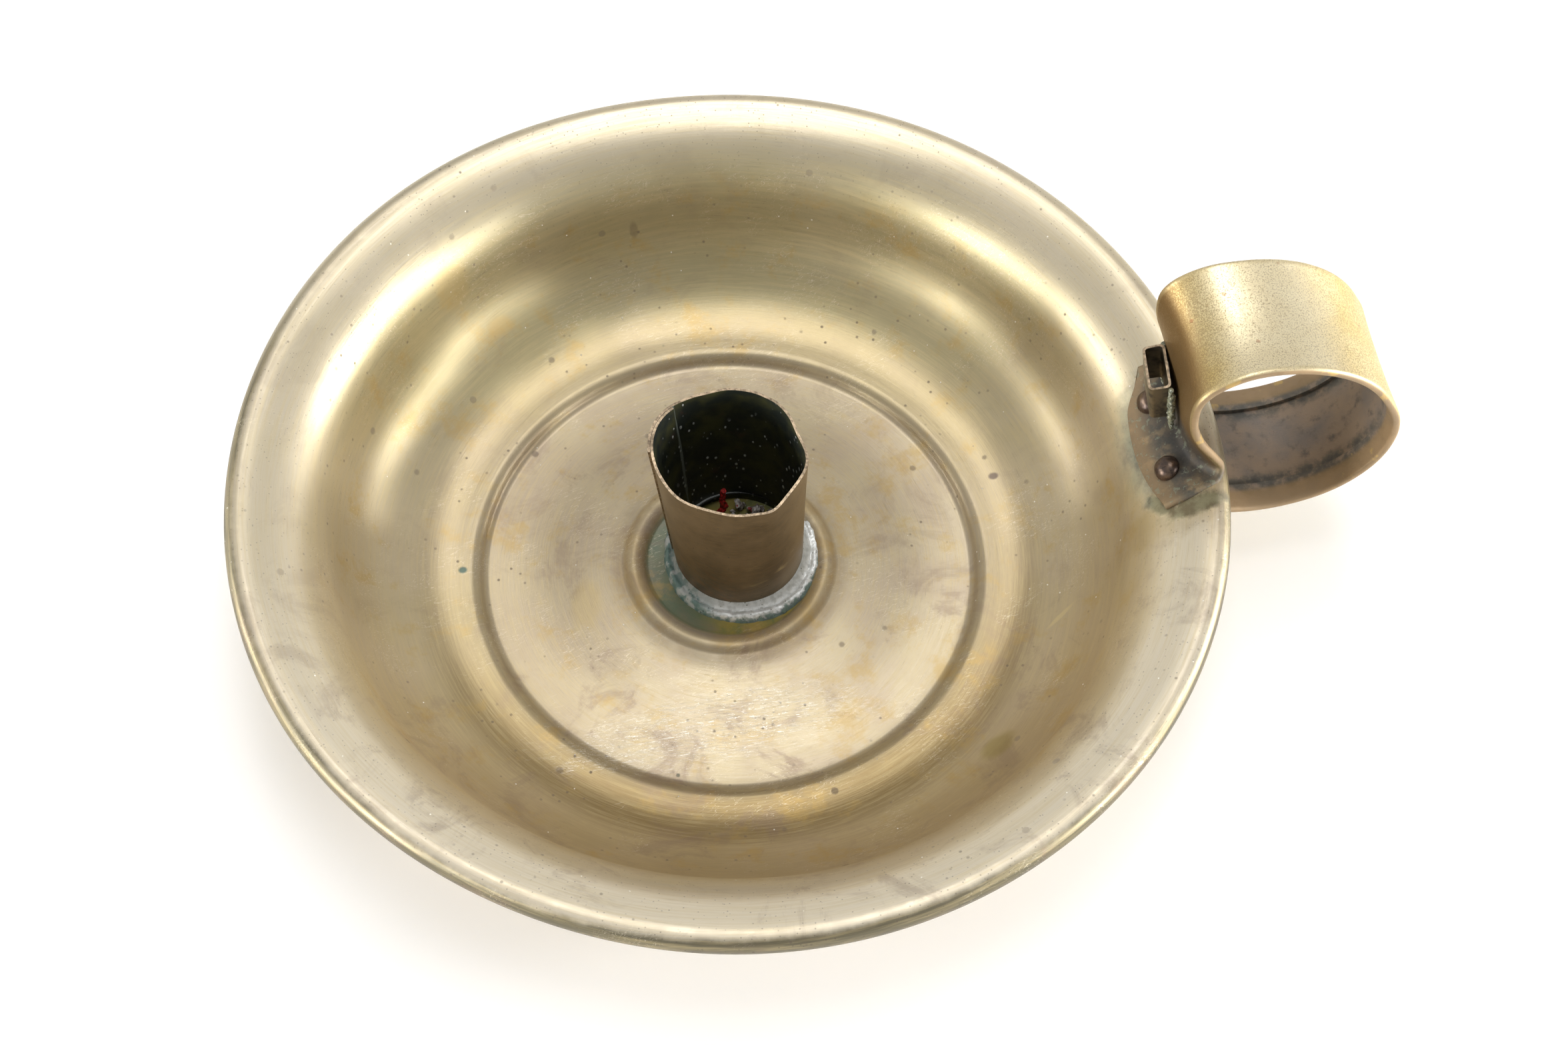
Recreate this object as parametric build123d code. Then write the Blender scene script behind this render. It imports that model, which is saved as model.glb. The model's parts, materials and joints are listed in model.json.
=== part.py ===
from build123d import *
import math
import os

# Chamber candlestick of thin brass: a spun pan with a wired rim, a rolled candle tube
# soldered into the middle of the pan, and a bent strap handle riveted through the flare.
# Millimetres. +Z is up, Z = 0 is the face the pan rests on, the origin is on the pan's axis
# and the handle points along +X.

# ---- driving dimensions ----
PAN_SHEET = 0.8
STRAP_SHEET = 0.6
TUBE_SHEET = 0.45
SLEEVE_SHEET = 0.4

# The pan's mid-surface, walked outwards from the axis: ("line", length) goes straight on,
# ("arc", radius, heading) curves until the heading is that many degrees above horizontal.
SEAT_TO_DISC_EDGE = [
    ("line", 13.2),
    ("arc", 1.2, 55),
    ("arc", 1.7, -45),
    ("arc", 1.6, -8),
    ("line", 10.0),
    ("arc", 60.0, 0),
    ("line", 3.2),
]
STEP_TO_WALL = [
    ("arc", 1.9, 60),
    ("arc", 1.9, 0),
    ("line", 1.5),
]
WALL_RADIUS = 19.3
STEEPEST_HEADING = 76
FLARE_RADIUS = 17.0
FLARE_END_HEADING = 15
BEAD_RADIUS = 1.9
BEAD_END_HEADING = -215
WIRE_RADIUS = 1.45

TUBE_FOOT = Vector(1.77, 1.58, 3.45)
TUBE_MOUTH = Vector(0.03, 1.87, 32.7)
TUBE_FOOT_RADIUS = 10.45
TUBE_MOUTH_RADIUS = 12.0
LAP_START = 128
LAP_END = 172
SOLDER_REACH = 2.4
SOLDER_CREST = 1.0
SOLDER_RISE = 2.2
SOLDER_LIMIT = 14.2

STRAP_WIDTH = 21.6
STRAP_DISH = 1.0
HEM_WIDTH = 3.6
HEM_THICKNESS = 1.3
FOOT_WIDTH = 22.6
FOOT_LOW_HEADING = 54
FOOT_TOP_HEADING = 30
TAIL_LOW_HEADING = 52
BAND_TURN = 30
# The strap's outer face along its middle, from where it leaves the pan's flare, over the
# finger loop, and back to the outside of the flare.
LOOP = [
    ("arc", 1.6, 101),
    ("line", 5.8),
    ("arc", 40.0, 88),
    ("line", 2.3),
    ("arc", 5.85, 40),
    ("arc", 11.05, 5),
    ("arc", 25.0, -60),
    ("line", 1.1),
    ("arc", 15.05, -150),
    ("arc", 20.05, -190),
    ("line", 14.95),
    ("arc", 2.2, -308),
]

RIVET_AZIMUTHS = (-6.5, 4.1)
RIVET_HEADING = 37
RIVET_SHANK_RADIUS = 1.1
RIVET_HEAD_RADIUS = 2.1
RIVET_HEAD_HEIGHT = 1.3
RIVET_TAIL_RADIUS = 1.7
RIVET_TAIL_HEIGHT = 0.7
RIVET_PLAY = 0.02
RIVET_HOLE_LENGTH = 4.0

SLEEVE_WIDTH = 8.2
SLEEVE_DEPTH = 3.5
SLEEVE_LENGTH = 8.2
SLEEVE_CORNER = 0.9
SLEEVE_SIDE_SHIFT = 2.8
SLEEVE_BACK_X = 69.85
SLEEVE_BASE_HEIGHT = 32.4
SLEEVE_LEAN = 9.0
BRAZE_SIZE = 0.9
BRAZE_DEPTH = 0.52

CONTACT_GAP = 0.02


# ---- outlines of bent sheet ----
def direction(heading):
    angle = math.radians(heading)
    return Vector(math.cos(angle), 0, math.sin(angle))


def left_of(heading):
    angle = math.radians(heading)
    return Vector(-math.sin(angle), 0, math.cos(angle))


def walk(start, heading, steps, offset=0.0):
    """Edges of the line that runs beside a walk of tangent lines and arcs, offset to its left."""
    edges = []
    place = start
    for step in steps:
        begin = place + left_of(heading) * offset
        if step[0] == "line":
            place = place + direction(heading) * step[1]
            edges.append(Edge.make_line(begin, place + left_of(heading) * offset))
            continue
        radius, end_heading = step[1], step[2]
        side = 1 if end_heading > heading else -1
        centre = place + left_of(heading) * (side * radius)
        middle_heading = (heading + end_heading) / 2
        reach = side * radius - offset
        middle = centre - left_of(middle_heading) * reach
        place = centre - left_of(end_heading) * (side * radius)
        heading = end_heading
        edges.append(Edge.make_three_point_arc(begin, middle, centre - left_of(heading) * reach))
    return edges, place, heading


def sheet_face(start, heading, steps, right, left):
    """The closed outline between two offsets, right and left, of one walk."""
    lower = walk(start, heading, steps, right)[0]
    upper = walk(start, heading, steps, left)[0]
    caps = [
        Edge.make_line(lower[0] @ 0, upper[0] @ 0),
        Edge.make_line(lower[-1] @ 1, upper[-1] @ 1),
    ]
    return Face(Wire(lower + upper + caps))


# ---- the pan and its rim wire ----
HALF_SHEET = PAN_SHEET / 2
SEAT_TO_WALL = SEAT_TO_DISC_EDGE + STEP_TO_WALL
DISC_FALL = walk(Vector(0, 0, 0), 0, SEAT_TO_DISC_EDGE)[1].Z
PAN_START = Vector(0, 0, HALF_SHEET - DISC_FALL)
WALL_FOOT = walk(PAN_START, 0, SEAT_TO_WALL)[1]
WALL_TOP = walk(WALL_FOOT, 0, [("arc", WALL_RADIUS, STEEPEST_HEADING)])[1]
FLARE_CENTRE = WALL_TOP - left_of(STEEPEST_HEADING) * FLARE_RADIUS


def on_flare(heading, lift=0.0):
    """A point of the flare where its mid-surface has this heading, lifted off it to the left."""
    return FLARE_CENTRE + left_of(heading) * (FLARE_RADIUS + lift)


def make_pan():
    wall_to_rim = [
        ("arc", WALL_RADIUS, STEEPEST_HEADING),
        ("arc", FLARE_RADIUS, FLARE_END_HEADING),
        ("arc", BEAD_RADIUS, BEAD_END_HEADING),
    ]
    outline = sheet_face(PAN_START, 0, SEAT_TO_WALL + wall_to_rim, -HALF_SHEET, HALF_SHEET)
    return revolve(outline, Axis.Z)


def make_rim_wire():
    centre = on_flare(FLARE_END_HEADING, -BEAD_RADIUS)
    ring = Face(Wire(Edge.make_circle(WIRE_RADIUS, Plane(centre, z_dir=(0, 1, 0)))))
    return revolve(ring, Axis.Z)


# ---- the candle tube and its solder ----
TUBE_AXIS = (TUBE_MOUTH - TUBE_FOOT).normalized()
TUBE_LENGTH = (TUBE_MOUTH - TUBE_FOOT).length
TUBE_TAPER = (TUBE_MOUTH_RADIUS - TUBE_FOOT_RADIUS) / TUBE_LENGTH
TUBE_PLANE = Plane(TUBE_FOOT, x_dir=(1, 0, 0), z_dir=TUBE_AXIS)
SEAT_TOP = PAN_START.Z + HALF_SHEET
ROOT_DEPTH = 3.0


def tube_cone(growth, length=TUBE_LENGTH):
    """The cone of the tube's outside, grown by a distance and rooted below the seat."""
    root = TUBE_FOOT_RADIUS + growth - ROOT_DEPTH * TUBE_TAPER
    mouth = TUBE_FOOT_RADIUS + growth + length * TUBE_TAPER
    cone = Cone(root, mouth, length + ROOT_DEPTH)
    return TUBE_PLANE.location * Pos(0, 0, (length - ROOT_DEPTH) / 2) * cone


def above(height, size=200.0):
    return Pos(0, 0, height + size / 2) * Box(size, size, size)


def make_tube():
    shell = tube_cone(0) - tube_cone(-TUBE_SHEET, TUBE_LENGTH + 1)
    lap_steps = [math.radians(angle) for angle in (LAP_START, LAP_END)]
    corners = [(0, 0)] + [(30 * math.cos(angle), 30 * math.sin(angle)) for angle in lap_steps]
    wedge = TUBE_PLANE * extrude(make_face(Polyline(*corners, close=True)), 60, both=True)
    lap = (tube_cone(TUBE_SHEET) - tube_cone(-TUBE_SHEET / 2, TUBE_LENGTH + 1)) & wedge
    return (shell + lap) & above(SEAT_TOP + CONTACT_GAP)


def make_tube_solder(pan, tube):
    """A low bank of solder round the tube's foot, lying on the pan's seat."""
    heel = TUBE_FOOT_RADIUS + SOLDER_REACH
    crest = TUBE_FOOT_RADIUS + SOLDER_CREST
    bank = Cone(heel, crest, SOLDER_RISE, align=(Align.CENTER, Align.CENTER, Align.MIN))
    bank = Pos(TUBE_FOOT.X, TUBE_FOOT.Y, SEAT_TOP) * bank
    inside_ring = Pos(0, 0, SEAT_TOP) * Cylinder(SOLDER_LIMIT, 4 * SOLDER_RISE)
    return (bank & inside_ring) - tube_cone(0) - tube - pan


# ---- the strap handle ----
OUTER_GRIP = HALF_SHEET + STRAP_SHEET
STRAP_START = Plane(
    on_flare(FOOT_TOP_HEADING, OUTER_GRIP), x_dir=(0, 1, 0), z_dir=direction(FOOT_TOP_HEADING)
)


def strap_section():
    """Across the strap: a dished web with both long edges folded back into hems."""
    half = STRAP_WIDTH / 2
    edge_round = HEM_THICKNESS / 2
    lift = STRAP_DISH
    shoulder = half - edge_round
    hem_edge = half - HEM_WIDTH
    hem_lift = lift * (hem_edge / half) ** 2
    outer = ThreePointArc((-shoulder, lift), (0, 0), (shoulder, lift))
    right_round = ThreePointArc(
        (shoulder, lift), (half, lift - edge_round), (shoulder, lift - HEM_THICKNESS)
    )
    right_hem = Line((shoulder, lift - HEM_THICKNESS), (hem_edge, hem_lift - HEM_THICKNESS))
    right_step = Line((hem_edge, hem_lift - HEM_THICKNESS), (hem_edge, hem_lift - STRAP_SHEET))
    inner = ThreePointArc(
        (hem_edge, hem_lift - STRAP_SHEET), (0, -STRAP_SHEET), (-hem_edge, hem_lift - STRAP_SHEET)
    )
    left_step = Line((-hem_edge, hem_lift - STRAP_SHEET), (-hem_edge, hem_lift - HEM_THICKNESS))
    left_hem = Line((-hem_edge, hem_lift - HEM_THICKNESS), (-shoulder, lift - HEM_THICKNESS))
    left_round = ThreePointArc(
        (-shoulder, lift - HEM_THICKNESS), (-half, lift - edge_round), (-shoulder, lift)
    )
    parts = [outer, right_round, right_hem, right_step, inner, left_step, left_hem, left_round]
    return make_face(parts)


def flare_band(low_heading, right, left):
    """A band of strap bent to lie against the pan's flare, up to where the loop starts."""
    steps = [("arc", FLARE_RADIUS, FLARE_END_HEADING)]
    outline = sheet_face(on_flare(low_heading), low_heading, steps, right, left)
    band = revolve(Rot(0, 0, -BAND_TURN / 2) * outline, Axis.Z, BAND_TURN)
    reach = 2 * FLARE_RADIUS
    room = STRAP_START.location * Pos(0, 0, CONTACT_GAP - reach / 2) * Box(FOOT_WIDTH, reach, reach)
    return band & room


def make_strap(pan, rivet_holes):
    """Foot inside the pan, finger loop over the rim, and tail outside the pan, in one piece."""
    foot = flare_band(FOOT_LOW_HEADING, HALF_SHEET, OUTER_GRIP)
    tail = flare_band(TAIL_LOW_HEADING, -OUTER_GRIP, -HALF_SHEET)
    path = walk(STRAP_START.origin, FOOT_TOP_HEADING, LOOP)[0]
    loop = sweep(STRAP_START * strap_section(), Wire(path))
    return (loop - pan) + foot + tail - rivet_holes


# ---- rivets ----
def dome(radius, height):
    """A domed head standing on the plane Z = 0."""
    ball = (radius**2 + height**2) / (2 * height)
    slab = Pos(0, 0, height / 2) * Box(3 * radius, 3 * radius, height)
    return (Pos(0, 0, height - ball) * Sphere(ball)) & slab


def at_rivets(shape):
    """A copy of a shape at each rivet, its Z axis square to the flare and its origin in the sheet."""
    place = Plane(on_flare(RIVET_HEADING), x_dir=(0, 1, 0), z_dir=left_of(RIVET_HEADING)).location
    return [Rot(0, 0, azimuth) * place * shape for azimuth in RIVET_AZIMUTHS]


def make_rivet():
    shank = Cylinder(RIVET_SHANK_RADIUS, 2 * OUTER_GRIP)
    head = Pos(0, 0, OUTER_GRIP) * dome(RIVET_HEAD_RADIUS, RIVET_HEAD_HEIGHT)
    tail = dome(RIVET_TAIL_RADIUS, RIVET_TAIL_HEIGHT)
    tail = Pos(0, 0, -OUTER_GRIP) * Rot(180, 0, 0) * tail
    return shank + head + tail


# ---- the snuffer sleeve and its braze ----
SLEEVE_BACK = Vector(SLEEVE_BACK_X, SLEEVE_SIDE_SHIFT, SLEEVE_BASE_HEIGHT)
SLEEVE_PLANE = Plane(
    SLEEVE_BACK, x_dir=left_of(90 + SLEEVE_LEAN), z_dir=direction(90 + SLEEVE_LEAN)
)


def make_sleeve():
    """An open four-sided tube that a snuffer's tongue drops into."""
    outer = RectangleRounded(SLEEVE_DEPTH, SLEEVE_WIDTH, SLEEVE_CORNER)
    opening = RectangleRounded(
        SLEEVE_DEPTH - 2 * SLEEVE_SHEET,
        SLEEVE_WIDTH - 2 * SLEEVE_SHEET,
        SLEEVE_CORNER - SLEEVE_SHEET,
    )
    return SLEEVE_PLANE * extrude(Pos(SLEEVE_DEPTH / 2, 0) * (outer - opening), SLEEVE_LENGTH)


def make_braze(strap):
    """A bead of solder down each side of the sleeve, filling the gap to the dished strap."""
    outer = Pos(SLEEVE_DEPTH / 2, 0) * RectangleRounded(SLEEVE_DEPTH, SLEEVE_WIDTH, SLEEVE_CORNER)
    filled_sleeve = SLEEVE_PLANE * extrude(outer, SLEEVE_LENGTH)
    bar = Pos((BRAZE_SIZE - BRAZE_DEPTH) / 2, 0, SLEEVE_LENGTH / 2) * Box(
        BRAZE_SIZE + BRAZE_DEPTH, 2 * BRAZE_SIZE, SLEEVE_LENGTH - BRAZE_SIZE
    )
    beads = []
    for side in (-1, 1):
        place = SLEEVE_PLANE.location * Pos(0, side * (SLEEVE_WIDTH - SLEEVE_CORNER) / 2, 0)
        beads.append(place * bar - filled_sleeve - strap)
    return beads


# ---- one STEP file for each node ----
os.makedirs("parts", exist_ok=True)
rivet_holes = at_rivets(Cylinder(RIVET_SHANK_RADIUS + RIVET_PLAY, RIVET_HOLE_LENGTH))
whole_pan = make_pan()
pan = whole_pan - rivet_holes
strap = make_strap(whole_pan, rivet_holes)
tube = make_tube()
rivets = [rivet - strap - pan for rivet in at_rivets(make_rivet())]
sleeve = make_sleeve() - strap
nodes = {
    "pan": pan,
    "rim_wire": make_rim_wire(),
    "nozzle_tube": tube,
    "nozzle_solder": make_tube_solder(pan, tube),
    "handle_strap": strap,
    "handle_rivets": Compound(rivets),
    "snuffer_sleeve": sleeve,
    "sleeve_solder": Compound(make_braze(strap)),
}
for name, shape in nodes.items():
    export_step(shape, f"parts/{name}.step")
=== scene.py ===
import json
import math

import bpy
import numpy as np
from mathutils import Matrix, Vector, noise


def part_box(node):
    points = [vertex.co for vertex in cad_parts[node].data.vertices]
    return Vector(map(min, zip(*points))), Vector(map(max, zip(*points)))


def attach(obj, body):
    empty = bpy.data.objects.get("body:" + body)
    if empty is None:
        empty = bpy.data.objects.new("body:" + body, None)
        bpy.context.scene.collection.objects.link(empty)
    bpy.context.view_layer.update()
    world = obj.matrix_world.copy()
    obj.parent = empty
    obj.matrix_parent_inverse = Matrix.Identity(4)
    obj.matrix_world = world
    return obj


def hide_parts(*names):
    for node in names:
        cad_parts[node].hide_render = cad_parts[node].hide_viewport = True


# Looks of the brass chamber candlestick. Lengths in this script are millimetres and angles are
# degrees, in the frame of the CAD model; MM turns millimetres into Blender's metres.
# Every piece is a mesh of its own that stands for one CAD node, or a small loose thing in the tube.

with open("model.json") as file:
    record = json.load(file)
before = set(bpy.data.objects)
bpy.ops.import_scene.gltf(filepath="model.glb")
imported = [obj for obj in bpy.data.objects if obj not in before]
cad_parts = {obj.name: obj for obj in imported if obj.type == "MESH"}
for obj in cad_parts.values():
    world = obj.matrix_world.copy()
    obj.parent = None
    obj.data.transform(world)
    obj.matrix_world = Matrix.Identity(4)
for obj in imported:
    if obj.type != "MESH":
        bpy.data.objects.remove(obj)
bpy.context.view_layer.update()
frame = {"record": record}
MM = 0.001


# ---------------------------------------------------------------- numbers read from the frame
def box_mm(node):
    low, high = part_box(node)
    return np.array(low) / MM, np.array(high) / MM


pan_low, _ = box_mm("pan")
sleeve_low, sleeve_high = box_mm("snuffer_sleeve")
candle_socket = next(mount for mount in frame["record"]["mounts"] if mount["name"] == "candle_socket")

# ---------------------------------------------------------------- driving dimensions
PAN_SHEET = 0.8
STRAP_SHEET = 0.62
TUBE_SHEET = 0.42
SLEEVE_SHEET = 0.38

# The pan's mid-surface from the axis outwards: ("line", length) or ("arc", radius, end heading).
SEAT_TO_STEP = [
    ("line", 13.2),
    ("arc", 1.2, 55),
    ("arc", 1.7, -45),
    ("arc", 1.6, -8),
    ("line", 10.0),
    ("arc", 60.0, 0),
    ("line", 3.2),
    ("arc", 1.9, 60),
    ("arc", 1.9, 0),
    ("line", 1.5),
]
WALL_RADIUS = 19.3
STEEPEST_HEADING = 76
FLARE_RADIUS = 17.0
FLARE_END_HEADING = 15
BEAD_RADIUS = 1.9
BEAD_END_HEADING = -215
WIRE_RADIUS = 1.42
PAN_COLUMNS = 400

# Where the pan is out of round at its rim: (azimuth, half width, outward shift).
ROUNDNESS = [(129, 34, 0.75), (-123, 28, -0.5), (91, 24, -0.6), (-152, 22, 0.4)]
# Dents in the wall: (azimuth, radius, size, depth towards the outside).
DENTS = [
    (112, 55, 5.0, 0.26),
    (121, 60, 6.5, -0.20),
    (133, 55, 5.5, 0.30),
    (143, 61, 7.0, -0.22),
    (148, 53, 5.0, 0.20),
    (104, 49, 4.0, 0.16),
    (160, 58, 7.0, 0.14),
    (-46, 52, 3.0, 0.22),
    (58, 59, 6.0, 0.12),
    (28, 51, 5.5, -0.10),
]
# Neither reaches the handle's sector (half of it, in degrees), nor the dents the bead (radii).
HANDLE_SECTOR = 14
BEAD_RISE = (71.5, 73.5)


# ---------------------------------------------------------------- outlines of bent sheet
def heading_vector(heading):
    angle = math.radians(heading)
    return np.array([math.cos(angle), math.sin(angle)])


def left_of(heading):
    angle = math.radians(heading)
    return np.array([-math.sin(angle), math.cos(angle)])


def fade(value, start, end):
    """0 at start, 1 at end, smooth between."""
    share = np.clip((np.asarray(value, float) - start) / (end - start), 0, 1)
    return share * share * (3 - 2 * share)


def bell(value, centre, half_width):
    return np.exp(-(((np.asarray(value, float) - centre) / half_width) ** 2))


def turn_between(azimuth, centre):
    """The signed angle from centre to azimuth, in degrees, between -180 and 180."""
    return (np.asarray(azimuth, float) - centre + 180) % 360 - 180


def sum_of_bells(azimuth, table):
    """Bells round the axis, each given as (azimuth, half width, size), added up."""
    total = np.zeros_like(azimuth)
    for centre, half_width, size in table:
        total += size * bell(turn_between(azimuth, centre), 0, half_width)
    return total


PIECE_LENGTH = 1.7
PIECE_TURN = 9.0


def natural_count(step, heading):
    """Enough pieces for a line or an arc to look smooth."""
    if step[0] == "line":
        return max(1, round(step[1] / PIECE_LENGTH))
    turn = abs(step[2] - heading)
    length = math.radians(turn) * step[1]
    return max(2, round(max(turn / PIECE_TURN, length / PIECE_LENGTH)))


def walk(start, heading, steps, counts=None):
    """Places (x, z) and headings along tangent lines and arcs."""
    place = np.array(start, float)
    places, headings = [place], [heading]
    for index, step in enumerate(steps):
        count = counts[index] if counts else natural_count(step, heading)
        if step[0] == "line":
            for part in range(1, count + 1):
                places.append(place + heading_vector(heading) * step[1] * part / count)
                headings.append(heading)
            place = places[-1]
            continue
        radius, end_heading = step[1], step[2]
        side = 1 if end_heading > heading else -1
        centre = place + left_of(heading) * side * radius
        for part in range(1, count + 1):
            now = heading + (end_heading - heading) * part / count
            places.append(centre - left_of(now) * side * radius)
            headings.append(now)
        place = places[-1]
        heading = end_heading
    return np.array(places), np.array(headings, float)


def normals_of(headings):
    angles = np.radians(headings)
    return np.stack([-np.sin(angles), np.cos(angles)], axis=1)


# ---------------------------------------------------------------- meshes
def put_in_scene(name, data):
    """A new object of the scene that shows this mesh, lamp or camera."""
    thing = bpy.data.objects.new(name, data)
    bpy.context.scene.collection.objects.link(thing)
    return thing


def make_piece(name, points, faces, materials, stands_for=(), face_material=None, sharp=38):
    """A piece of the object, from points in millimetres, riding on the only body."""
    mesh = bpy.data.meshes.new(name)
    mesh.from_pydata((np.asarray(points).reshape(-1, 3) * MM).tolist(), [], faces)
    for material in materials:
        mesh.materials.append(material)
    if face_material is not None:
        mesh.polygons.foreach_set("material_index", np.asarray(face_material, np.int32))
    mesh.polygons.foreach_set("use_smooth", np.ones(len(mesh.polygons), bool))
    mesh.set_sharp_from_angle(angle=math.radians(sharp))
    mesh.validate()
    mesh.update()
    piece = put_in_scene(name, mesh)
    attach(piece, "root")
    if stands_for:
        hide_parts(*stands_for)
    return piece


def give_attribute(piece, name, values):
    attribute = piece.data.attributes.new(name, "FLOAT", "POINT")
    attribute.data.foreach_set("value", np.asarray(values, np.float32))


def grid_faces(rows, columns, close_rows=False, close_columns=False, offset=0, flip=False):
    """Quads of a grid whose point (row, column) has index offset + row * columns + column."""
    faces = []
    for row in range(rows if close_rows else rows - 1):
        below = offset + row * columns
        above = offset + ((row + 1) % rows) * columns
        for column in range(columns if close_columns else columns - 1):
            after = (column + 1) % columns
            quad = (below + column, below + after, above + after, above + column)
            faces.append(quad[::-1] if flip else quad)
    return faces


def end_caps(rows, columns, offset=0):
    """One face over each end of a grid whose columns are closed."""
    last = offset + (rows - 1) * columns
    return [tuple(reversed(range(offset, offset + columns))), tuple(range(last, last + columns))]


def rough_noise(points, size, seed):
    """Smooth noise between about -1 and 1 at each point, with features of the given size."""
    shift = Vector((seed * 17.3, seed * 5.1, seed * 9.7))
    return np.array([noise.noise(Vector(point) / size + shift) for point in points])


# ---------------------------------------------------------------- the pan
HALF_SHEET = PAN_SHEET / 2
seat_to_step, _ = walk((0, 0), 0, SEAT_TO_STEP)
RING_START = np.array([0, pan_low[2] + HALF_SHEET - seat_to_step[:, 1].min()])
STEP_TOP = RING_START + seat_to_step[-1]
WALL_TOP = STEP_TOP + (left_of(0) - left_of(STEEPEST_HEADING)) * WALL_RADIUS
FLARE_CENTRE = WALL_TOP - left_of(STEEPEST_HEADING) * FLARE_RADIUS
SEAT_TOP = RING_START[1] + HALF_SHEET


def on_flare(heading, lift=0.0):
    """A point of the flare where its mid-surface has this heading, lifted off it to the left."""
    return FLARE_CENTRE + left_of(heading) * (FLARE_RADIUS + lift)


def wall_waves():
    """The gentle waves that spinning and use leave in a thin wall: (turns, radial rate, phase, size)."""
    dice = np.random.default_rng(11)
    waves = []
    for turns in (2, 3, 3, 5, 6, 8, 9, 11, 13, 16):
        waves.append((turns, dice.uniform(-0.12, 0.12), dice.uniform(0, 6.28), 0.11 / turns**0.75))
    return waves


WAVES = wall_waves()


def pan_shift(azimuth, radius):
    """How far the real sheet stands off the true form: (outward along the plan, along the normal)."""
    growth = fade(radius, 30, 78)
    away_from_handle = fade(np.abs(turn_between(azimuth, 0)), HANDLE_SECTOR, HANDLE_SECTOR + 14)
    along_normal = np.zeros_like(azimuth)
    for centre, place, size, depth in DENTS:
        across = np.radians(turn_between(azimuth, centre)) * place
        away = np.hypot(across, radius - place)
        along_normal -= depth * np.exp(-((away / size) ** 2))
    waves = np.zeros_like(azimuth)
    for turns, rate, phase, size in WAVES:
        waves += size * np.cos(np.radians(azimuth) * turns + radius * rate + phase)
    along_normal += waves * fade(radius, 42, 56) * (1 - 0.6 * fade(radius, 70, 76))
    return sum_of_bells(azimuth, ROUNDNESS) * growth * away_from_handle, along_normal * away_from_handle


def ring_points(places, headings, columns):
    """Turns an outline of the pan into rings of points, bent the way the pan is bent."""
    azimuth = np.linspace(-180, 180, columns, endpoint=False)
    grid_azimuth = np.broadcast_to(azimuth, (len(places), columns))
    grid_radius = np.broadcast_to(places[:, :1], (len(places), columns))
    outward, along = pan_shift(grid_azimuth, grid_radius)
    lean = normals_of(headings)
    share = (1 - fade(places[:, 0], *BEAD_RISE))[:, None]
    radius = grid_radius + outward + along * lean[:, :1] * share
    height = places[:, 1:] + along * lean[:, 1:] * share
    angle = np.radians(grid_azimuth)
    return np.stack([radius * np.cos(angle), radius * np.sin(angle), height], axis=-1)


def make_pan(material):
    wall_to_rim = [
        ("arc", WALL_RADIUS, STEEPEST_HEADING),
        ("arc", FLARE_RADIUS, FLARE_END_HEADING),
        ("arc", BEAD_RADIUS, BEAD_END_HEADING),
    ]
    places, headings = walk(RING_START, 0, SEAT_TO_STEP + wall_to_rim)
    lean = normals_of(headings)
    inside = (places + lean * HALF_SHEET)[1:]
    outside = (places - lean * HALF_SHEET)[1:][::-1]
    outline = np.concatenate([inside, outside])
    outline_headings = np.concatenate([headings[1:], headings[1:][::-1]])
    rings = ring_points(outline, outline_headings, PAN_COLUMNS)
    points = rings.reshape(-1, 3)
    poles = [[0, 0, SEAT_TOP], [0, 0, SEAT_TOP - PAN_SHEET]]
    faces = grid_faces(len(outline), PAN_COLUMNS, close_columns=True)
    top_pole, low_pole = len(points), len(points) + 1
    last = (len(outline) - 1) * PAN_COLUMNS
    for column in range(PAN_COLUMNS):
        after = (column + 1) % PAN_COLUMNS
        faces.append((top_pole, column, after))
        faces.append((low_pole, last + after, last + column))
    points = np.vstack([points, poles])
    piece = make_piece("pan_body", points, faces, [material], ["pan"], sharp=60)
    shown = (outline_headings > -100) & (np.arange(len(outline)) < len(inside))
    inner = np.repeat(shown.astype(float), PAN_COLUMNS)
    give_attribute(piece, "inner_side", np.append(inner, [1, 0]))


def make_rim_wire(material):
    centre = on_flare(FLARE_END_HEADING, -BEAD_RADIUS)
    turns = np.radians(np.arange(0, 360, 24))
    ring = centre + WIRE_RADIUS * np.stack([np.cos(turns), np.sin(turns)], axis=1)
    points = ring_points(ring, np.zeros(len(ring)), PAN_COLUMNS)
    faces = grid_faces(len(ring), PAN_COLUMNS, close_rows=True, close_columns=True, flip=True)
    make_piece("rim_wire_ring", points, faces, [material], ["rim_wire"])


# ---------------------------------------------------------------- the candle tube
TUBE_AXIS = np.array(candle_socket["axis"], float)
TUBE_MOUTH = np.array(candle_socket["pos_m"]) / MM
TUBE_MOUTH_RADIUS = 11.85
TUBE_FOOT_RADIUS = 10.45
TUBE_LENGTH = (TUBE_MOUTH[2] - SEAT_TOP) / TUBE_AXIS[2]
TUBE_FOOT = TUBE_MOUTH - TUBE_AXIS * TUBE_LENGTH
# The lap seam: where the sheet starts, how far it overlaps, and where along its turn it climbs, by its
# own thickness and a gap.
LAP_START = 128
LAP_TURN = 44
LAP_CLIMB = (285, 352)
LAP_GAP = 0.06
TURN_STEPS = 567
# How the thin mouth is bent: (azimuth, half width, outward shift).
MOUTH_BENDS = [
    (146, 26, 0.60),
    (100, 14, -0.55),
    (52, 14, 0.30),
    (11, 15, -0.50),
    (-19, 16, 0.45),
    (-66, 12, 0.60),
    (-116, 22, -0.75),
    (-160, 20, -0.30),
]
# How its edge is worn down: (azimuth, half width, depth).
MOUTH_NICKS = [
    (-66, 8, 0.18),
    (4, 10, 0.20),
    (52, 7, 0.30),
    (118, 10, 0.35),
    (-30, 12, -0.25),
    (170, 8, -0.30),
]


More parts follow.
